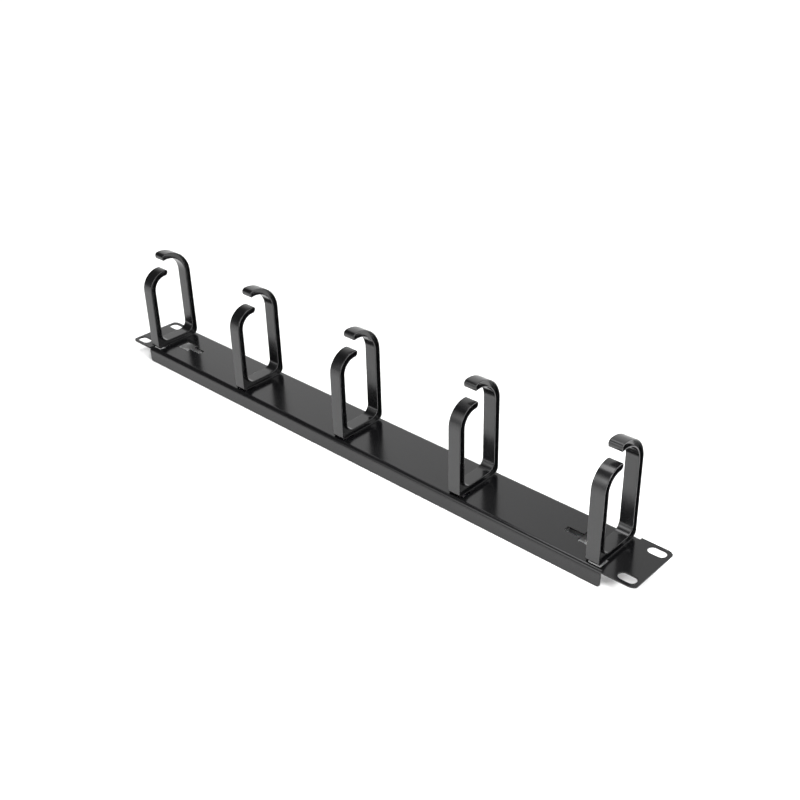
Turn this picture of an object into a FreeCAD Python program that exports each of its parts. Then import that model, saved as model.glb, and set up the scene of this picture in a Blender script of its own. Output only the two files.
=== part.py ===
import FreeCAD, Part
import math
import os

# Cable management panel for a 19-inch rack, one unit high.
# A black steel strip with both long edges folded down carries a row of five
# moulded cable rings. Each ring is one open loop: cables are laid in through
# the mouth between its short front arch and its tall rear arch.
# Millimetres. The panel lies on its folded edges with the rings standing up.
# X runs along the panel, -Y is the side of the short arches, Z is up.
# The origin is the middle of the footprint, at the foot of the folded edges.

# Steel strip
panel_length = 482.6
panel_width = 44.0
sheet_thickness = 1.2
fold_height = 12.0
bend_inner_radius = 2.0
fold_corner_radius = 2.5
ear_length = 23.3
ear_corner_radius = 5.0
relief_width = 0.3
relief_past_bend = 0.4

# Slots for the rack screws, two in each ear. A rack of this size has its
# screws 465.1 apart along the panel, which leaves this margin at each end.
rack_slot_margin = 8.75
rack_slot_pitch = 31.75
rack_slot_length = 12.0
rack_slot_width = 6.8

# Key-shaped openings for a tie, one near each end
key_head_margin = 38.5
key_head_length = 12.6
key_head_width = 10.6
key_arm_length = 11.8
key_arm_width = 4.5
key_corner_radius = 0.8

# Row of cable rings
ring_count = 5
ring_end_margin = 29.3
ring_row_shift = -2.0

# One cable ring, seen from its side
ring_width = 9.6
ring_band = 4.85
ring_front = -19.0
ring_rear = 20.5
rear_arch_height = 77.0
rear_arch_radius = 20.5
rear_arch_sweep = 104.0
front_arch_height = 64.3
front_arch_radius = 15.1
front_arch_sweep = 103.0
foot_front_radius = 2.2
foot_rear_radius = 5.0
foot_inner_radius = 6.0
rear_tip_outer_radius = 3.0
rear_tip_inner_radius = 0.7
front_tip_radius = 2.2

# Channels moulded into both sides of the ring
rim_width = 0.85
channel_depth = 3.0
ring_edge_break = 0.35

# Lugs under the ring and the slots that hold them
lug_width = 4.4
lug_thickness = 1.8
lug_side_clearance = 0.5
lug_end_clearance = 0.2
hook_reach = 2.4
hook_thickness = 1.3
hook_gap = 0.15
catch_reach = 1.0
catch_room = 1.6
front_slot_width = 9.4
front_slot_length = 9.5
front_slot_rear_edge = -9.0
front_slot_shift = 1.0
rear_slot_front_edge = 9.0
slot_corner_radius = 0.8

# How far a cutting tool runs past the face that it leaves
tool_overrun = 1.0

# The largest share of a side that one rounded corner may take
largest_corner_share = 0.499

# How near to a corner the middle of an edge lies when it is that corner's edge
corner_reach = 0.5

# The least share of an edge's direction that lies along the axis it follows
least_axis_share = 0.9

sheet_top = fold_height
sheet_bottom = sheet_top - sheet_thickness
bend_outer_radius = bend_inner_radius + sheet_thickness
half_width = panel_width / 2
fold_length = panel_length - 2 * ear_length
half_fold = fold_length / 2
half_length = panel_length / 2

x_axis = FreeCAD.Vector(1, 0, 0)
y_axis = FreeCAD.Vector(0, 1, 0)
z_axis = FreeCAD.Vector(0, 0, 1)


def side_point(y, z):
    """A point of an outline that is drawn on the plane X = 0."""
    return FreeCAD.Vector(0, y, z)


def side_arc(centre_y, centre_z, radius, start, end):
    """An arc on the plane X = 0. Angles are in degrees, from +Y towards +Z."""
    points = []
    for angle in (start, (start + end) / 2, end):
        turn = math.radians(angle)
        points.append(side_point(centre_y + radius * math.cos(turn),
                                 centre_z + radius * math.sin(turn)))
    return Part.Arc(*points).toShape()


def runs_along(edge, axis):
    """Whether an edge starts out along an axis, either way."""
    return abs(edge.tangentAt(edge.FirstParameter).dot(axis)) > least_axis_share


def closed_face(curves):
    """A face bounded by arcs in turn, with straight lines across their gaps."""
    edges = []
    for index, curve in enumerate(curves):
        edges.append(curve)
        end = curve.valueAt(curve.LastParameter)
        following = curves[(index + 1) % len(curves)]
        start = following.valueAt(following.FirstParameter)
        edges.append(Part.makeLine(end, start))
    return Part.Face(Part.Wire(edges))


def rounded_block(length, width, corner_radius, bottom, top):
    """An upright block around the Z axis with its four corners rounded."""
    block = Part.makeBox(length, width, top - bottom,
                         FreeCAD.Vector(-length / 2, -width / 2, bottom))
    radius = min(corner_radius, largest_corner_share * min(length, width))
    upright = [edge for edge in block.Edges if runs_along(edge, z_axis)]
    return block.makeFillet(radius, upright)


def sheet_tool(length, width, corner_radius, x, y):
    """A rounded block that cuts through the sheet at a place on it."""
    tool = rounded_block(length, width, corner_radius,
                         sheet_bottom - tool_overrun, sheet_top + tool_overrun)
    tool.translate(FreeCAD.Vector(x, y, 0))
    return tool


def ring_places():
    """The X of each ring's middle, from left to right."""
    row_length = panel_length - 2 * ring_end_margin
    pitch = row_length / (ring_count - 1)
    first = ring_row_shift - row_length / 2
    return [first + pitch * index for index in range(ring_count)]


def folded_strip():
    """The strip between the ears, with both long edges bent down."""
    flat_edge = half_width - bend_outer_radius
    bend_centre = sheet_top - bend_outer_radius
    fold_inside = half_width - sheet_thickness
    outside = [side_arc(flat_edge, bend_centre, bend_outer_radius, 0, 90),
               side_arc(-flat_edge, bend_centre, bend_outer_radius, 90, 180)]
    inside = [side_arc(-flat_edge, bend_centre, bend_inner_radius, 180, 90),
              side_arc(flat_edge, bend_centre, bend_inner_radius, 90, 0)]
    left_foot = Part.makeLine(side_point(-half_width, 0), side_point(-fold_inside, 0))
    right_foot = Part.makeLine(side_point(fold_inside, 0), side_point(half_width, 0))
    section = closed_face(outside + [left_foot] + inside + [right_foot])
    strip = section.extrude(x_axis * fold_length)
    strip.translate(x_axis * -half_fold)

    # The lower corners of both folded edges are rounded off.
    frame = Part.makeBox(fold_length, panel_width, 2 * sheet_top,
                         FreeCAD.Vector(-half_fold, -half_width, 0))
    lower_corners = [edge for edge in frame.Edges
                     if runs_along(edge, y_axis)
                     and edge.CenterOfMass.z < sheet_bottom]
    return strip.common(frame.makeFillet(fold_corner_radius, lower_corners))


def ears():
    """The two flat ends, cut from one plate with rounded corners."""
    plate = rounded_block(panel_length, panel_width, ear_corner_radius,
                          sheet_bottom, sheet_top)
    middle = Part.makeBox(fold_length, panel_width, sheet_thickness,
                          FreeCAD.Vector(-half_fold, -half_width, sheet_bottom))
    return plate.cut(middle)


def bend_reliefs():
    """Narrow slits beside the ears that let the long edges fold."""
    depth = bend_outer_radius + relief_past_bend
    tools = []
    for end in (-1, 1):
        for side in (-1, 1):
            middle_x = end * (half_fold + relief_width / 2)
            middle_y = side * (half_width - depth / 2 + tool_overrun / 2)
            tool = Part.makeBox(relief_width, depth + tool_overrun,
                                sheet_thickness + 2 * tool_overrun)
            corner = FreeCAD.Vector(middle_x - relief_width / 2,
                                    middle_y - (depth + tool_overrun) / 2,
                                    sheet_bottom - tool_overrun)
            tool.translate(corner)
            tools.append(tool)
    return tools


def rack_slots():
    """Four slots with round ends for the rack screws."""
    tools = []
    for end in (-1, 1):
        for side in (-1, 1):
            tools.append(sheet_tool(rack_slot_length, rack_slot_width,
                                    rack_slot_width / 2,
                                    end * (half_length - rack_slot_margin),
                                    side * rack_slot_pitch / 2))
    return tools


def key_openings():
    """A square head with a narrow arm towards the middle, at both ends."""
    head_outer = half_length - key_head_margin
    head_inner = head_outer - key_head_length
    arm_tip = head_inner - key_arm_length
    arm_root = head_inner + 2 * key_corner_radius
    tools = []
    for end in (-1, 1):
        tools.append(sheet_tool(key_head_length, key_head_width, key_corner_radius,
                                end * (head_inner + head_outer) / 2, 0))
        tools.append(sheet_tool(arm_root - arm_tip, key_arm_width, key_corner_radius,
                                end * (arm_tip + arm_root) / 2, 0))
    return tools


def lug_slots():
    """The front and rear slot of every ring."""
    front_middle = front_slot_rear_edge - front_slot_length / 2
    rear_length = lug_end_clearance + lug_thickness + catch_room
    rear_middle = rear_slot_front_edge + rear_length / 2
    rear_width = lug_width + 2 * lug_side_clearance
    tools = []
    for x in ring_places():
        tools.append(sheet_tool(front_slot_width, front_slot_length,
                                slot_corner_radius, x + front_slot_shift,
                                front_middle))
        tools.append(sheet_tool(rear_width, rear_length, slot_corner_radius,
                                x, rear_middle))
    return tools


def folded_panel():
    """The whole steel strip as one piece."""
    panel = folded_strip().fuse(ears()).removeSplitter()
    return panel.cut(bend_reliefs() + rack_slots() + key_openings() + lug_slots())


def arch_ends(inset):
    """The centre and end angle of each arch, rear one first, and where its two
    end corners lie and how far they are rounded, all moved in by the inset."""
    rear_turn = math.degrees(inset / (rear_arch_radius - ring_band / 2))
    front_turn = math.degrees(inset / (front_arch_radius - ring_band / 2))
    rear = (ring_rear - rear_arch_radius, rear_arch_height - rear_arch_radius,
            rear_arch_sweep - rear_turn,
            [(rear_arch_radius - inset, rear_tip_outer_radius - inset),
             (rear_arch_radius - ring_band + inset, rear_tip_inner_radius - inset)])
    front = (ring_front + front_arch_radius, front_arch_height - front_arch_radius,
             180 - front_arch_sweep + front_turn,
             [(front_arch_radius - inset, front_tip_radius - inset),
              (front_arch_radius - ring_band + inset, front_tip_radius - inset)])
    return rear, front


def ring_outline(inset):
    """The side view of a ring, with every edge moved inwards by the inset."""
    rear, front = arch_ends(inset)
    rear_y, rear_z, rear_end = rear[:3]
    front_y, front_z, front_end = front[:3]
    inner_corner = foot_inner_radius + inset
    inner_corner_z = ring_band + foot_inner_radius
    inner_front = ring_front + ring_band + foot_inner_radius
    inner_rear = ring_rear - ring_band - foot_inner_radius
    return closed_face([
        side_arc(rear_y, rear_z, rear_arch_radius - inset, rear_end, 0),
        side_arc(ring_rear - foot_rear_radius, foot_rear_radius,
                 foot_rear_radius - inset, 0, -90),
        side_arc(ring_front + foot_front_radius, foot_front_radius,
                 foot_front_radius - inset, -90, -180),
        side_arc(front_y, front_z, front_arch_radius - inset, 180, front_end),
        side_arc(front_y, front_z, front_arch_radius - ring_band + inset,
                 front_end, 180),
        side_arc(inner_front, inner_corner_z, inner_corner, 180, 270),
        side_arc(inner_rear, inner_corner_z, inner_corner, -90, 0),
        side_arc(rear_y, rear_z, rear_arch_radius - ring_band + inset, 0, rear_end)])


def round_arch_ends(body, inset):
    """Round the corners at the ends of both arches, where there is room."""
    for centre_y, centre_z, angle, corners in arch_ends(inset):
        turn = math.radians(angle)
        for radius, corner_radius in corners:
            if corner_radius <= 0:
                continue
            corner_y = centre_y + radius * math.cos(turn)
            corner_z = centre_z + radius * math.sin(turn)
            edges = [edge for edge in body.Edges
                     if runs_along(edge, x_axis)
                     and math.hypot(edge.CenterOfMass.y - corner_y,
                                    edge.CenterOfMass.z - corner_z) < corner_reach]
            body = body.makeFillet(min(corner_radius, largest_corner_share * ring_band),
                                   edges)
    return body


def ring_loop():
    """The ring's open loop, still solid, with rounded ends and broken edges."""
    loop = round_arch_ends(ring_outline(0).extrude(x_axis * ring_width), 0)
    loop.translate(x_axis * -ring_width / 2)
    side_edges = [edge for edge in loop.Edges
                  if edge.BoundBox.XLength < ring_edge_break
                  and abs(abs(edge.CenterOfMass.x) - ring_width / 2) < ring_edge_break]
    return loop.makeChamfer(ring_edge_break, side_edges)


def ring_channels():
    """The two channels that leave a thin web in the middle of the band."""
    face = ring_outline(rim_width)
    tools = []
    for side in (-1, 1):
        tool = face.extrude(x_axis * side * (channel_depth + tool_overrun))
        tool = round_arch_ends(tool, rim_width)
        tool.translate(x_axis * side * (ring_width / 2 - channel_depth))
        tools.append(tool)
    return tools


def lug_plate(front, rear, bottom, top):
    """A block as wide as a lug, between two Y and two Z values."""
    return Part.makeBox(lug_width, rear - front, top - bottom,
                        FreeCAD.Vector(-lug_width / 2, front, bottom))


def ring_lugs():
    """A hook through the front slot and a snap catch through the rear one."""
    root = rim_width / 2
    under_sheet = -sheet_thickness - hook_gap
    foot = under_sheet - hook_thickness

    front_stem_rear = front_slot_rear_edge - lug_end_clearance
    stem = lug_plate(front_stem_rear - lug_thickness, front_stem_rear, foot, root)
    toe = lug_plate(front_stem_rear, front_slot_rear_edge + hook_reach,
                    foot, under_sheet)

    rear_stem_front = rear_slot_front_edge + lug_end_clearance
    spring = lug_plate(rear_stem_front, rear_stem_front + lug_thickness, foot, root)
    nose = Part.makePolygon([
        FreeCAD.Vector(-lug_width / 2, rear_stem_front, foot),
        FreeCAD.Vector(-lug_width / 2, rear_stem_front, under_sheet),
        FreeCAD.Vector(-lug_width / 2, rear_slot_front_edge - catch_reach, under_sheet),
        FreeCAD.Vector(-lug_width / 2, rear_stem_front, foot)])
    nose = Part.Face(nose).extrude(x_axis * lug_width)
    return stem.fuse([toe, spring, nose])


def cable_ring():
    """One ring in its own place, with the top of the sheet at Z = 0."""
    return ring_loop().cut(ring_channels()).fuse(ring_lugs()).removeSplitter()


def save(shape, name):
    """Write one piece under its own name."""
    piece = Part.Solid(shape.Solids[0]) if len(shape.Solids) == 1 else shape
    piece.exportStep("parts/" + name + ".step")
    print(name, "solids", len(shape.Solids), "valid", shape.isValid(),
          "volume", round(shape.Volume, 1))


os.makedirs("parts", exist_ok=True)
save(folded_panel(), "folded_panel")
for number, place in enumerate(ring_places(), start=1):
    ring = cable_ring()
    ring.translate(FreeCAD.Vector(place, 0, sheet_top))
    save(ring, "cable_ring_" + str(number))
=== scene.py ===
import bmesh
import bpy
import math
from mathutils import Matrix, Vector


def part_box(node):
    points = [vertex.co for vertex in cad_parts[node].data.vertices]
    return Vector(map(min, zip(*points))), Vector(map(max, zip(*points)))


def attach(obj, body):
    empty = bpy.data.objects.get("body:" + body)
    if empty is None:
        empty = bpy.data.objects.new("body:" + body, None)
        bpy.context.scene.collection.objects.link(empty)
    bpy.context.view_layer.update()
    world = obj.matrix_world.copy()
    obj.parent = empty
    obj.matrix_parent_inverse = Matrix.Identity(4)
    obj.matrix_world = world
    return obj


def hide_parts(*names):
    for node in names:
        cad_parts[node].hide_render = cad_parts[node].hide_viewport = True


# The looks of a rack cable management panel: a folded steel strip in black
# powder coat, and a row of open cable rings moulded in black plastic.
# Blender's metres; lengths are written in millimetres and turned by mm().

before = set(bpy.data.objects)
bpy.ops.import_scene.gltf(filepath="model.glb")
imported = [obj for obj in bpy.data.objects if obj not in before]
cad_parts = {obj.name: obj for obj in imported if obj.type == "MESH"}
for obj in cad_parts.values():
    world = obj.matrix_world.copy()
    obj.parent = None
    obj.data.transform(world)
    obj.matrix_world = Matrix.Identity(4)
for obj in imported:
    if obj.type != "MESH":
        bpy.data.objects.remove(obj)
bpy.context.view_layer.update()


def mm(*values):
    """Millimetres to metres, as one number or as a vector."""
    metres = [value / 1000 for value in values]
    return metres[0] if len(metres) == 1 else Vector(metres)


def linear(hex_colour):
    """A hex sRGB colour as linear red, green, blue and alpha."""
    channels = []
    for start in (0, 2, 4):
        value = int(hex_colour[start:start + 2], 16) / 255
        if value <= 0.04045:
            channels.append(value / 12.92)
        else:
            channels.append(((value + 0.055) / 1.055) ** 2.4)
    return (*channels, 1.0)


# Sizes of the folded strip
sheet_thickness = mm(1.2)
bend_radius = mm(3.2)
ear_length = mm(23.3)
relief_width = mm(0.3)
relief_depth = mm(3.6)
ear_corner_radius = mm(5)
fold_corner_radius = mm(2.5)
rack_slot_margin = mm(8.75)
rack_slot_pitch = mm(31.75)
rack_slot_length = mm(12)
rack_slot_width = mm(6.8)
# A little under half the slot's width, so that the two roundings of an end don't meet
rack_slot_end_radius = mm(3.298)
key_head_margin = mm(38.5)
key_head_length = mm(12.6)
key_head_width = mm(10.6)
key_arm_length = mm(11.8)
key_arm_width = mm(4.5)
hole_corner_radius = mm(0.8)
front_slot_width = mm(9.4)
front_slot_length = mm(9.5)
front_slot_rear_edge = mm(-9)
front_slot_shift = mm(1)
rear_slot_front_edge = mm(9)
rear_slot_length = mm(3.6)
rear_slot_width = mm(5.4)
sheet_edge_radius = mm(0.45)
# Every slot for the rings lies between these distances from the sheet's middle line,
# and its edges take this share of the rounding, because the bend is close by
ring_slots_inner = mm(8)
ring_slots_outer = mm(19)
ring_slot_edge_share = 0.5

# Sizes of one cable ring
ring_band = mm(4.85)
rear_arch_radius = mm(20.5)
rear_arch_sweep = math.radians(104)
front_arch_radius = mm(15.1)
front_arch_height = mm(64.3)
front_arch_sweep = math.radians(103)
foot_front_radius = mm(2.2)
foot_rear_radius = mm(5)
foot_inner_radius = mm(6)
rear_tip_sweep = math.radians(8.7)
front_tip_sweep = math.radians(12.8)
rear_tip_outer_radius = mm(3)
rear_tip_inner_radius = mm(0.7)
front_tip_radius = mm(2.2)
rim_width = mm(0.85)
channel_depth = mm(3)
ring_edge_radius = mm(0.35)
lug_width = mm(4.4)
lug_root = mm(0.5)
lug_foot = mm(2.65)
hook_thickness = mm(1.3)
hook_stem_front = mm(-11)
hook_stem_rear = mm(-9.2)
hook_toe_end = mm(-6.6)
catch_stem_front = mm(9.2)
catch_stem_rear = mm(11)
catch_nose_tip = mm(8)

# How many steps draw each curve
bend_steps = 10
ear_corner_steps = 8
fold_corner_steps = 6
rack_slot_end_steps = 12
hole_corner_steps = 6
rear_arch_steps = 32
front_arch_steps = 24
foot_front_steps = 5
foot_rear_steps = 8
foot_inner_steps = 8
tip_steps = 5
small_tip_steps = 2
edge_steps = 2

# Turns between two faces: the most in one flat face, the most that is shaded
# smooth, and the least whose edge is rounded
flat_turn = math.radians(1)
smooth_turn = math.radians(30)
sharp_turn = math.radians(35)

# How near points lie that are merged: along seams, at the ends of a hole's corners,
# and where the roundings of a ring meet
seam_reach = mm(0.005)
hole_merge_reach = mm(0.03)
ring_merge_reach = mm(0.13)

# A place to one side of every plane of symmetry, for sorting by distance
sorting_place = mm(-613, -271, 157)

# How near a length is to another that it equals, and an edge to the corner it makes
slack = mm(0.01)
corner_reach = mm(0.2)

# The least share of a face's or an edge's direction that lies along its axis
facing_share = 0.9
running_share = 0.999

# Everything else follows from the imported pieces.
ring_nodes = sorted(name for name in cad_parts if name.startswith("cable_ring"))
panel_low, panel_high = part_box("folded_panel")
sheet_top = panel_high.z
half_length = panel_high.x
half_width = panel_high.y
half_fold = half_length - ear_length
ring_low, ring_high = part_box(ring_nodes[0])
ring_width = ring_high.x - ring_low.x
ring_front = ring_low.y
ring_rear = ring_high.y
ring_places = [(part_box(name)[0].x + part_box(name)[1].x) / 2 for name in ring_nodes]
rear_slot_middle = rear_slot_front_edge + rear_slot_length / 2
foot_top = sheet_top + ring_band


# Modelling by hand, in code

def add_block(name, low, high):
    """A box between two corners, as a new piece."""
    bpy.ops.object.select_all(action="DESELECT")
    middle = (low + high) / 2
    bpy.ops.mesh.primitive_cube_add(size=1, location=middle, scale=high - low)
    piece = bpy.context.object
    bpy.ops.object.transform_apply(location=True, rotation=True, scale=True)
    piece.name = name
    piece.data.name = name
    return piece


def pick(piece, kind, test):
    """Select the faces, edges or corners of a piece in edit mode that pass a test."""
    bpy.ops.mesh.select_all(action="DESELECT")
    bpy.ops.mesh.select_mode(type=kind)
    mesh = bmesh.from_edit_mesh(piece.data)
    parts = {"FACE": mesh.faces, "EDGE": mesh.edges, "VERT": mesh.verts}[kind]
    for part in parts:
        if test(part):
            part.select_set(True)
    mesh.select_flush_mode()
    bmesh.update_edit_mesh(piece.data)


def middle_of(part):
    """The middle of an edge, or the median of a face."""
    if isinstance(part, bmesh.types.BMFace):
        return part.calc_center_median()
    return (part.verts[0].co + part.verts[1].co) / 2


def near(a, b):
    """Whether two lengths are equal, but for the slack."""
    return abs(a - b) < slack


def looks_along(face, axis, way=1):
    """Whether a face looks along an axis, 0, 1 or 2, or with way -1 against it."""
    return face.normal[axis] * way > facing_share


def runs_along(edge, axis):
    """Whether an edge lies along one axis: 0, 1 or 2."""
    step = (edge.verts[1].co - edge.verts[0].co).normalized()
    return abs(step[axis]) > running_share


def pull(offset):
    """Extrude what is selected by an offset."""
    bpy.ops.mesh.extrude_region_move(
        TRANSFORM_OT_translate={"value": offset, "orient_type": "GLOBAL"})


def mend_seams(reach=seam_reach):
    """Merge doubled points in edit mode and turn every face outwards. Everything is
    sorted by its distance from one place first, so that each run merges alike."""
    bpy.ops.mesh.select_all(action="SELECT")
    bpy.context.scene.cursor.location = sorting_place
    bpy.ops.mesh.sort_elements(type="CURSOR_DISTANCE", elements={"VERT", "EDGE", "FACE"})
    bpy.ops.mesh.remove_doubles(threshold=reach)
    bpy.ops.mesh.normals_make_consistent(inside=False)


def apply_modifier(piece, kind, **settings):
    """Add a modifier to a piece, set it and apply it."""
    bpy.ops.object.select_all(action="DESELECT")
    bpy.context.view_layer.objects.active = piece
    piece.select_set(True)
    modifier = piece.modifiers.new(kind.title(), kind)
    for key, value in settings.items():
        setattr(modifier, key, value)
    bpy.ops.object.modifier_apply(modifier=modifier.name)


def open_edit(piece):
    """Go into edit mode on one piece alone."""
    bpy.ops.object.select_all(action="DESELECT")
    bpy.context.view_layer.objects.active = piece
    piece.select_set(True)
    bpy.ops.object.mode_set(mode="EDIT")


def close_edit():
    """Back to object mode."""
    bpy.ops.object.mode_set(mode="OBJECT")


def combine(piece, tool, operation):
    """Join a tool to a piece, or cut it away, and remove the tool."""
    apply_modifier(piece, "BOOLEAN", object=tool, operation=operation, solver="EXACT")
    bpy.data.objects.remove(tool)


def soften(piece, radius, share=lambda edge: 1.0):
    """Round the sharp edges of a finished piece and shade it smooth. An edge may
    take only a share of the radius."""
    open_edit(piece)
    mesh = bmesh.from_edit_mesh(piece.data)
    weights = mesh.edges.layers.float.new("bevel_weight_edge")
    for edge in mesh.edges:
        if edge.is_manifold and edge.calc_face_angle() > sharp_turn:
            edge[weights] = share(edge)
    bmesh.update_edit_mesh(piece.data)
    close_edit()
    # Not clamped: the shortest edge would shrink the rounding of all the others
    apply_modifier(piece, "BEVEL", width=radius, segments=edge_steps,
                   limit_method="WEIGHT", miter_outer="MITER_ARC",
                   use_clamp_overlap=False)
    bpy.ops.object.shade_smooth_by_angle(angle=smooth_turn)
    apply_modifier(piece, "WEIGHTED_NORMAL", keep_sharp=True, weight=50)


# Folded steel strip

def cut_hole(piece, x, y, length, width, radius=hole_corner_radius,
             segments=hole_corner_steps):
    """Cut a hole with rounded corners straight through the sheet."""
    margin = 2 * sheet_thickness
    half = Vector((length / 2, width / 2, margin))
    place = Vector((x, y, sheet_top - sheet_thickness / 2))
    tool = add_block("hole_tool", place - half, place + half)
    open_edit(tool)
    pick(tool, "EDGE", lambda edge: runs_along(edge, 2))
    bpy.ops.mesh.bevel(offset=radius, segments=segments, affect="EDGES")
    mend_seams(hole_merge_reach)
    close_edit()
    combine(piece, tool, "DIFFERENCE")


def strip_shell():
    """The outer skin of the strip: flat face, reliefs, folds and corners."""
    low = Vector((-half_length, -half_width, sheet_top))
    high = Vector((half_length, half_width, sheet_top))
    bpy.ops.object.select_all(action="DESELECT")
    bpy.ops.mesh.primitive_plane_add(size=1, location=(low + high) / 2)
    strip = bpy.context.object
    strip.name = "steel_panel"
    strip.data.name = "steel_panel"
    strip.scale = (2 * half_length, 2 * half_width, 1)
    bpy.ops.object.transform_apply(location=True, rotation=True, scale=True)

    open_edit(strip)
    relief_end = half_fold + relief_width
    for x in (-relief_end, -half_fold, half_fold, relief_end):
        bpy.ops.mesh.select_all(action="SELECT")
        bpy.ops.mesh.bisect(plane_co=(x, 0, sheet_top), plane_no=(1, 0, 0))
    relief_y = half_width - relief_depth
    for y in (-relief_y, relief_y):
        bpy.ops.mesh.select_all(action="SELECT")
        bpy.ops.mesh.bisect(plane_co=(0, y, sheet_top), plane_no=(0, 1, 0))

    def in_relief(face):
        place = middle_of(face)
        return half_fold < abs(place.x) < relief_end and abs(place.y) > relief_y

    pick(strip, "FACE", in_relief)
    bpy.ops.mesh.delete(type="FACE")

    def fold_line(edge):
        place = middle_of(edge)
        return (runs_along(edge, 0) and near(abs(place.y), half_width)
                and abs(place.x) < half_fold)

    pick(strip, "EDGE", fold_line)
    pull((0, 0, -(sheet_top - panel_low.z)))
    pick(strip, "EDGE", lambda edge: fold_line(edge)
         and near(middle_of(edge).z, sheet_top))
    bpy.ops.mesh.bevel(offset=bend_radius, segments=bend_steps, affect="EDGES")

    def at_corner(x, z):
        return lambda vert: (near(abs(vert.co.x), x) and near(vert.co.z, z)
                             and near(abs(vert.co.y), half_width))

    pick(strip, "VERT", at_corner(half_length, sheet_top))
    bpy.ops.mesh.bevel(offset=ear_corner_radius, segments=ear_corner_steps,
                       affect="VERTICES")
    pick(strip, "VERT", at_corner(half_fold, panel_low.z))
    bpy.ops.mesh.bevel(offset=fold_corner_radius, segments=fold_corner_steps,
                       affect="VERTICES")
    close_edit()
    return strip


def cut_strip_holes(strip):
    """Rack slots, key-shaped openings and the slots that hold the rings."""
    slot_x = half_length - rack_slot_margin
    head_outer = half_length - key_head_margin
    head_inner = head_outer - key_head_length
    arm_tip = head_inner - key_arm_length
    arm_end = head_inner + hole_corner_radius
    for end in (-1, 1):
        for side in (-1, 1):
            cut_hole(strip, end * slot_x, side * rack_slot_pitch / 2,
                     rack_slot_length, rack_slot_width,
                     rack_slot_end_radius, rack_slot_end_steps)
        cut_hole(strip, end * (head_inner + head_outer) / 2, 0,
                 key_head_length, key_head_width)
        cut_hole(strip, end * (arm_tip + arm_end) / 2, 0,
                 arm_end - arm_tip, key_arm_width)
    for x in ring_places:
        cut_hole(strip, x + front_slot_shift,
                 front_slot_rear_edge - front_slot_length / 2,
                 front_slot_width, front_slot_length)
        cut_hole(strip, x, rear_slot_middle, rear_slot_width, rear_slot_length)


def steel_panel():
    """The folded strip, as thick as its sheet, with every hole."""
    strip = strip_shell()
    apply_modifier(strip, "SOLIDIFY", thickness=sheet_thickness, offset=-1,
                   use_even_offset=True)
    open_edit(strip)
    bpy.ops.mesh.select_all(action="SELECT")
    bpy.ops.mesh.dissolve_limited(angle_limit=flat_turn)
    # A line along the sheet through every hole keeps the lines between faces clear
    # of the hole's corners, so that these can be rounded
    for y in (-rack_slot_pitch / 2, 0, rear_slot_middle, rack_slot_pitch / 2):
        bpy.ops.mesh.select_all(action="SELECT")
        bpy.ops.mesh.bisect(plane_co=(0, y, 0), plane_no=(0, 1, 0))
    close_edit()
    cut_strip_holes(strip)

    def edge_share(edge):
        """No rounding in the slits, and less at the slots for the rings."""
        place = middle_of(edge)
        x, y = abs(place.x), abs(place.y)
        in_slit = (half_fold - slack < x < half_fold + relief_width + slack
                   and y > half_width - relief_depth - slack
                   and place.z > sheet_top - bend_radius - slack)
        if in_slit:
            return 0.0
        on_sheet = near(place.z, sheet_top) or near(place.z, sheet_top - sheet_thickness)
        at_ring_slot = (on_sheet and x < half_fold
                        and ring_slots_inner < y < ring_slots_outer)
        return ring_slot_edge_share if at_ring_slot else 1.0

    soften(strip, sheet_edge_radius, edge_share)
    return strip


# Cable rings

def swing(piece, face_test, centre, angle, steps, last_angle):
    """Turn a cut end of the band round a centre, to draw an arch. The last step is
    long enough to take the rounded tip."""
    pick(piece, "FACE", face_test)
    bpy.ops.mesh.spin(steps=steps, angle=angle - last_angle, center=centre,
                      axis=(1, 0, 0))
    bpy.ops.mesh.spin(steps=1, angle=last_angle, center=centre, axis=(1, 0, 0))


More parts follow.
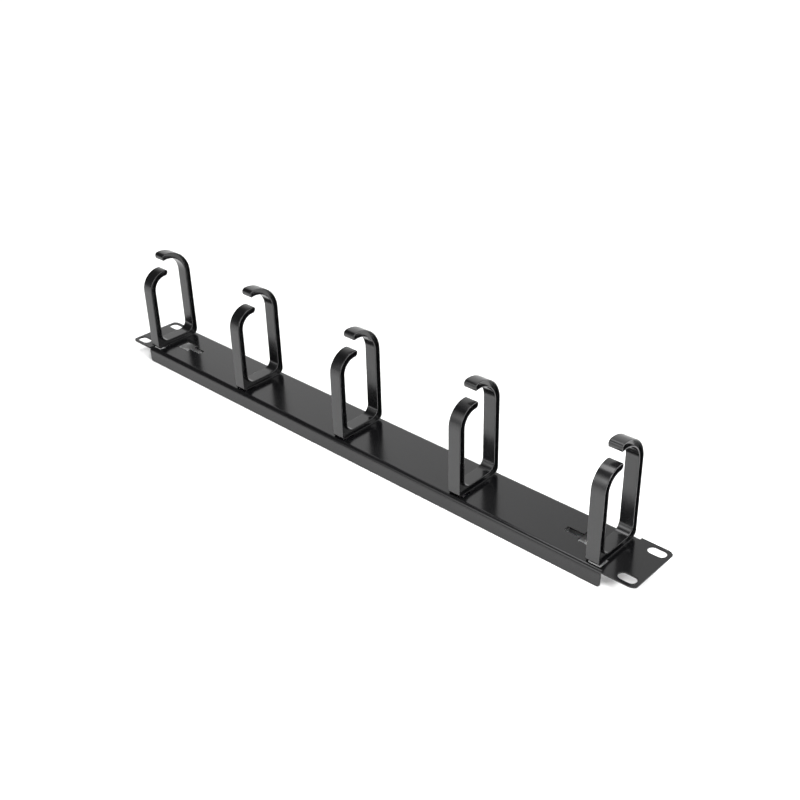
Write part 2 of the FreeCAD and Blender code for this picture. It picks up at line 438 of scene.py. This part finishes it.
def ring_band_loop():
    """The band of one ring with its channels: foot, both legs and both arches."""
    half = ring_width / 2
    low = Vector((-half, ring_front + ring_band, sheet_top))
    high = Vector((half, ring_rear - ring_band, foot_top))
    ring = add_block("cable_ring", low, high)
    open_edit(ring)
    for end in (-1, 1):
        pick(ring, "FACE", lambda face: looks_along(face, 1, end))
        pull((0, end * ring_band, 0))
    front_centre = Vector((0, ring_front + front_arch_radius,
                           sheet_top + front_arch_height - front_arch_radius))
    rear_centre = Vector((0, ring_rear - rear_arch_radius,
                          ring_high.z - rear_arch_radius))
    for low_side, centre in ((True, front_centre), (False, rear_centre)):
        def leg_end(face):
            place = middle_of(face)
            if low_side:
                beside = place.y < ring_front + ring_band
            else:
                beside = place.y > ring_rear - ring_band
            return looks_along(face, 2) and beside
        pick(ring, "FACE", leg_end)
        pull((0, 0, centre.z - foot_top))
    bpy.ops.mesh.select_all(action="SELECT")
    bpy.ops.mesh.dissolve_limited(angle_limit=flat_turn)

    def leg_top(height, y):
        return lambda face: (looks_along(face, 2)
                             and near(middle_of(face).z, height)
                             and abs(middle_of(face).y - y) < ring_band)

    swing(ring, leg_top(front_centre.z, ring_front + ring_band / 2),
          front_centre, front_arch_sweep, front_arch_steps, front_tip_sweep)
    swing(ring, leg_top(rear_centre.z, ring_rear - ring_band / 2),
          rear_centre, -rear_arch_sweep, rear_arch_steps, -rear_tip_sweep)
    mend_seams()
    round_foot(ring)
    front_end = math.pi - front_arch_sweep
    rear_end = rear_arch_sweep
    round_tip(ring, front_centre, front_arch_radius, front_end, front_tip_radius)
    round_tip(ring, front_centre, front_arch_radius - ring_band, front_end,
              front_tip_radius)
    round_tip(ring, rear_centre, rear_arch_radius, rear_end, rear_tip_outer_radius)
    sink_channels(ring)
    # This corner is smaller than the rim is wide, so the channel doesn't follow it
    round_tip(ring, rear_centre, rear_arch_radius - ring_band, rear_end,
              rear_tip_inner_radius, small_tip_steps)
    mend_seams(ring_merge_reach)
    close_edit()
    return ring


def round_foot(ring):
    """Round the foot's outer and inner corners."""

    def foot_corner(z, *sides):
        return lambda edge: (runs_along(edge, 0) and near(middle_of(edge).z, z)
                             and any(near(middle_of(edge).y, y) for y in sides))

    pick(ring, "EDGE", foot_corner(sheet_top, ring_front))
    bpy.ops.mesh.bevel(offset=foot_front_radius, segments=foot_front_steps,
                       affect="EDGES")
    pick(ring, "EDGE", foot_corner(sheet_top, ring_rear))
    bpy.ops.mesh.bevel(offset=foot_rear_radius, segments=foot_rear_steps,
                       affect="EDGES")
    pick(ring, "EDGE", foot_corner(foot_top, ring_front + ring_band,
                                   ring_rear - ring_band))
    bpy.ops.mesh.bevel(offset=foot_inner_radius, segments=foot_inner_steps,
                       affect="EDGES")


def round_tip(ring, centre, radius, angle, corner_radius, segments=tip_steps):
    """Round one corner at the cut end of an arch, found by its turn round a centre."""
    corner = centre + Vector((0, math.cos(angle), math.sin(angle))) * radius
    pick(ring, "EDGE", lambda edge: runs_along(edge, 0)
         and (middle_of(edge) - corner).yz.length < corner_reach
         and edge.calc_length() > ring_width / 2)
    bpy.ops.mesh.bevel(offset=corner_radius, segments=segments, affect="EDGES")


def sink_channels(ring):
    """Sink the channel into both sides and leave a rim all round it."""
    for side in (-1, 1):
        pick(ring, "FACE", lambda face: looks_along(face, 0, side))
        bpy.ops.mesh.inset(thickness=rim_width, depth=0, use_boundary=True,
                           use_even_offset=True)
        pull((-side * channel_depth, 0, 0))


def hook_lug():
    """The hook that reaches under the sheet behind the front slot."""
    half = lug_width / 2
    foot = sheet_top - lug_foot
    lug = add_block("hook_lug", Vector((-half, hook_stem_front, foot)),
                    Vector((half, hook_toe_end, foot + hook_thickness)))
    raise_stem(lug, hook_stem_rear, -1)
    return lug


def catch_lug():
    """The snap catch with its sloping nose, through the rear slot."""
    half = lug_width / 2
    foot = sheet_top - lug_foot
    lug = add_block("catch_lug", Vector((-half, catch_nose_tip, foot)),
                    Vector((half, catch_stem_rear, foot + hook_thickness)))
    open_edit(lug)
    pick(lug, "EDGE", lambda edge: runs_along(edge, 0)
         and near(middle_of(edge).z, foot) and near(middle_of(edge).y, catch_nose_tip))
    bpy.ops.transform.translate(value=(0, catch_stem_front - catch_nose_tip, 0))
    close_edit()
    raise_stem(lug, catch_stem_front, 1)
    return lug


def raise_stem(lug, y, side):
    """Split the lug at y and raise one side of its top into the ring's foot."""
    top = sheet_top - lug_foot + hook_thickness
    open_edit(lug)
    bpy.ops.mesh.select_all(action="SELECT")
    bpy.ops.mesh.bisect(plane_co=(0, y, 0), plane_no=(0, 1, 0))
    pick(lug, "FACE", lambda face: looks_along(face, 2)
         and (middle_of(face).y - y) * side > 0)
    pull((0, 0, sheet_top + lug_root - top))
    close_edit()


def place_ring(master, node, x):
    """A ring of its own mesh, standing at its place in the row."""
    ring = master.copy()
    ring.data = master.data.copy()
    ring.name = node.replace("cable_ring", "moulded_ring")
    ring.data.name = ring.name
    bpy.context.scene.collection.objects.link(ring)
    ring.data.transform(Matrix.Translation((x, 0, 0)))
    return ring


def cable_rings():
    """One ring modelled once, then copied along the panel."""
    master = ring_band_loop()
    combine(master, hook_lug(), "UNION")
    combine(master, catch_lug(), "UNION")
    soften(master, ring_edge_radius)
    rings = {}
    for node, x in zip(ring_nodes, ring_places):
        rings[node] = place_ring(master, node, x)
    bpy.data.objects.remove(master)
    return rings


# Materials

# Noise lies mostly between these two values
noise_low = 0.3
noise_high = 0.7


def add_node(tree, kind, settings=None, **links):
    """Add a node, set its values and link the sockets that feed it. A socket that
    shares its name with others is given by its number."""
    node = tree.nodes.new(kind)
    for key, value in (settings or {}).items():
        if isinstance(key, int) or key in node.inputs:
            node.inputs[key].default_value = value
        else:
            setattr(node, key, value)
    for key, source in links.items():
        tree.links.new(source, node.inputs[key.replace("_", " ")])
    return node


def start_material(name):
    """An empty node material."""
    material = bpy.data.materials.new(name)
    material.use_nodes = True
    tree = material.node_tree
    tree.nodes.clear()
    return material, tree


def powder_coated_steel():
    """Black polyester powder coat, sprayed and baked onto sheet steel."""
    material, tree = start_material("black powder coated steel")
    place = add_node(tree, "ShaderNodeTexCoord").outputs["Object"]
    # Orange peel, waves of a millimetre: reflections wobble softly at their edges
    peel = add_node(tree, "ShaderNodeTexNoise",
                    {"Scale": 1 / mm(1.1), "Detail": 2.0}, Vector=place)
    bump = add_node(tree, "ShaderNodeBump", {"Strength": 0.12, "Distance": mm(0.02)},
                    Height=peel.outputs["Fac"])
    # Film of uneven thickness, patches of three centimetres with a fine grain in
    # them: duller here, clearer there
    film = add_node(tree, "ShaderNodeTexNoise",
                    {"Scale": 1 / mm(30), "Detail": 6.0}, Vector=place)
    sheen = add_node(tree, "ShaderNodeMapRange",
                     {"From Min": noise_low, "From Max": noise_high,
                      "To Min": 0.14, "To Max": 0.21},
                     Value=film.outputs["Fac"])
    # Grain of the melted powder, really a tenth of a millimetre and drawn at two to
    # show: the black is never quite one tone
    grain = add_node(tree, "ShaderNodeTexNoise",
                     {"Scale": 1 / mm(2), "Detail": 4.0}, Vector=place)
    black = add_node(tree, "ShaderNodeMix",
                     {"data_type": "RGBA", 6: linear("020203"), 7: linear("101011")},
                     Factor=grain.outputs["Fac"])
    shader = add_node(tree, "ShaderNodeBsdfPrincipled", {"IOR": 1.43},
                      Base_Color=black.outputs[2], Roughness=sheen.outputs["Result"],
                      Normal=bump.outputs["Normal"])
    add_node(tree, "ShaderNodeOutputMaterial", Surface=shader.outputs["BSDF"])
    return material


def moulded_plastic():
    """Black injection-moulded ABS, from a mould that was lightly polished."""
    material, tree = start_material("black moulded ABS")
    place = add_node(tree, "ShaderNodeTexCoord").outputs["Object"]
    # Polishing marks of the mould, drawn coarser than they are to show: highlights
    # are slightly soft
    marks = add_node(tree, "ShaderNodeTexNoise",
                     {"Scale": 1 / mm(0.7), "Detail": 2.0}, Vector=place)
    bump = add_node(tree, "ShaderNodeBump", {"Strength": 0.08, "Distance": mm(0.02)},
                    Height=marks.outputs["Fac"])
    # Sink and flow along the band, a centimetre or more: the gloss comes and goes
    flow = add_node(tree, "ShaderNodeTexNoise",
                    {"Scale": 1 / mm(14), "Detail": 5.0}, Vector=place)
    sheen = add_node(tree, "ShaderNodeMapRange",
                     {"From Min": noise_low, "From Max": noise_high,
                      "To Min": 0.16, "To Max": 0.25},
                     Value=flow.outputs["Fac"])
    # Dust and rubbed spots of a few millimetres: the black is lifted in places
    dust = add_node(tree, "ShaderNodeTexNoise",
                    {"Scale": 1 / mm(2.5), "Detail": 4.0}, Vector=place)
    black = add_node(tree, "ShaderNodeMix",
                     {"data_type": "RGBA", 6: linear("020203"), 7: linear("0f0f10")},
                     Factor=dust.outputs["Fac"])
    shader = add_node(tree, "ShaderNodeBsdfPrincipled", {"IOR": 1.53},
                      Base_Color=black.outputs[2], Roughness=sheen.outputs["Result"],
                      Normal=bump.outputs["Normal"])
    add_node(tree, "ShaderNodeOutputMaterial", Surface=shader.outputs["BSDF"])
    return material


def paint(piece, material):
    """Give a piece one material all over."""
    piece.data.materials.clear()
    piece.data.materials.append(material)


# Studio

# Side of the square floor, in metres
floor_side = 12

# Brightness of the walls, where 1 shows as white
backdrop = 1.34

# Softboxes: azimuth and elevation in degrees, distance and side of the square in
# metres, and brightness on the walls' scale
softboxes = {
    "key softbox core": (-22, 32, 1.6, 0.4, 2.0),
    "key softbox": (-22, 32, 1.61, 0.75, 1.0),
    "key softbox rim": (-22, 32, 1.62, 1.1, 0.6),
    "right front softbox": (76, 22, 1.2, 0.2, 62),
    "high right softbox": (60, 50, 0.6, 0.25, 10),
    "right rear softbox": (142, 36, 1.4, 0.6, 4),
    "overhead softbox": (-90, 80, 1.2, 0.45, 5),
}

# The camera's place and turn, as fitted to the photograph's slots and corners
camera_place = mm(488.14, -468.97, 424.80)
camera_azimuth = 43.68
camera_elevation = 30.00
camera_roll = math.radians(-1.495)
lens_mm = 50.36
sensor_mm = 36


def toward(azimuth, elevation):
    """A direction: azimuth 0 is -Y and 90 is +X, elevation 90 is up."""
    turn, rise = math.radians(azimuth), math.radians(elevation)
    return Vector((math.sin(turn) * math.cos(rise),
                   -math.cos(turn) * math.cos(rise), math.sin(rise)))


def white_floor():
    """A plain white sheet under the object."""
    bpy.ops.object.select_all(action="DESELECT")
    bpy.ops.mesh.primitive_plane_add(size=floor_side, location=(0, 0, panel_low.z))
    floor = bpy.context.object
    floor.name = "floor"
    material, tree = start_material("matt white paper")
    shader = add_node(tree, "ShaderNodeBsdfPrincipled",
                      {"Base Color": linear("fafafa"), "Roughness": 0.9})
    add_node(tree, "ShaderNodeOutputMaterial", Surface=shader.outputs["BSDF"])
    paint(floor, material)


def softbox(name, azimuth, elevation, distance, side, brightness):
    """A square softbox that faces the object, of a stated brightness."""
    light = bpy.data.lights.new(name, "AREA")
    light.shape = "SQUARE"
    light.size = side
    light.energy = brightness * math.pi * side ** 2
    lamp = bpy.data.objects.new(name, light)
    bpy.context.scene.collection.objects.link(lamp)
    lamp.location = toward(azimuth, elevation) * distance
    lamp.rotation_mode = "QUATERNION"
    lamp.rotation_quaternion = (-lamp.location).to_track_quat("-Z", "Y")


def dim_side(tree, facing, azimuth, elevation, reach, core, depth):
    """How much brightness is left around one direction of the walls: all of it
    beyond the reach, and all but the depth inside the core, in degrees."""
    aim = add_node(tree, "ShaderNodeVectorMath",
                   {"operation": "DOT_PRODUCT", 1: toward(azimuth, elevation)})
    tree.links.new(facing, aim.inputs[0])
    return add_node(tree, "ShaderNodeMapRange",
                    {"interpolation_type": "SMOOTHSTEP",
                     "From Min": math.cos(math.radians(reach)),
                     "From Max": math.cos(math.radians(core)),
                     "To Min": 1.0, "To Max": 1.0 - depth},
                    Value=aim.outputs["Value"]).outputs["Result"]


def surroundings():
    """White walls all round: unlit at the front left, dimmer at the back and low
    at the right. The camera itself sees them white everywhere."""
    world = bpy.data.worlds.new("white studio")
    bpy.context.scene.world = world
    world.use_nodes = True
    tree = world.node_tree
    tree.nodes.clear()
    facing = add_node(tree, "ShaderNodeTexCoord").outputs["Generated"]
    front_left = dim_side(tree, facing, azimuth=-72, elevation=30, reach=51, core=22,
                          depth=0.93)
    back = dim_side(tree, facing, azimuth=-175, elevation=42, reach=29, core=5,
                    depth=0.27)
    low_right = dim_side(tree, facing, azimuth=90, elevation=3, reach=38, core=14,
                         depth=0.85)
    shade = add_node(tree, "ShaderNodeMath", {"operation": "MULTIPLY", 1: backdrop})
    tree.links.new(back, shade.inputs[0])
    for factor in (front_left, low_right):
        product = add_node(tree, "ShaderNodeMath", {"operation": "MULTIPLY"})
        tree.links.new(shade.outputs["Value"], product.inputs[0])
        tree.links.new(factor, product.inputs[1])
        shade = product
    seen = add_node(tree, "ShaderNodeMath", {"operation": "MAXIMUM"})
    tree.links.new(shade.outputs["Value"], seen.inputs[0])
    light_path = add_node(tree, "ShaderNodeLightPath")
    tree.links.new(light_path.outputs["Is Camera Ray"], seen.inputs[1])
    glow = add_node(tree, "ShaderNodeBackground", {"Color": linear("ffffff")},
                    Strength=seen.outputs["Value"])
    add_node(tree, "ShaderNodeOutputWorld", Surface=glow.outputs["Background"])


def studio():
    """Floor, walls and softboxes, shown without a film curve."""
    white_floor()
    surroundings()
    for name, settings in softboxes.items():
        softbox(name, *settings)
    bpy.context.scene.view_settings.view_transform = "Standard"


def camera():
    """The camera at the photograph's viewing angle."""
    data = bpy.data.cameras.new("camera")
    data.lens = lens_mm
    data.sensor_width = sensor_mm
    data.clip_start = mm(10)
    eye = bpy.data.objects.new("camera", data)
    bpy.context.scene.collection.objects.link(eye)
    back = toward(camera_azimuth, camera_elevation)
    right = Vector((-back.y, back.x, 0)).normalized()
    up = back.cross(right)
    turned_right = right * math.cos(camera_roll) + up * math.sin(camera_roll)
    turned_up = up * math.cos(camera_roll) - right * math.sin(camera_roll)
    eye.matrix_world = Matrix.Translation(camera_place) @ Matrix(
        (turned_right, turned_up, back)).transposed().to_4x4()
    bpy.context.scene.camera = eye


steel = powder_coated_steel()
plastic = moulded_plastic()

panel = steel_panel()
paint(panel, steel)
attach(panel, "root")
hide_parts("folded_panel")

for node_name, ring_piece in cable_rings().items():
    paint(ring_piece, plastic)
    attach(ring_piece, "root")
    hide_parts(node_name)

studio()
camera()
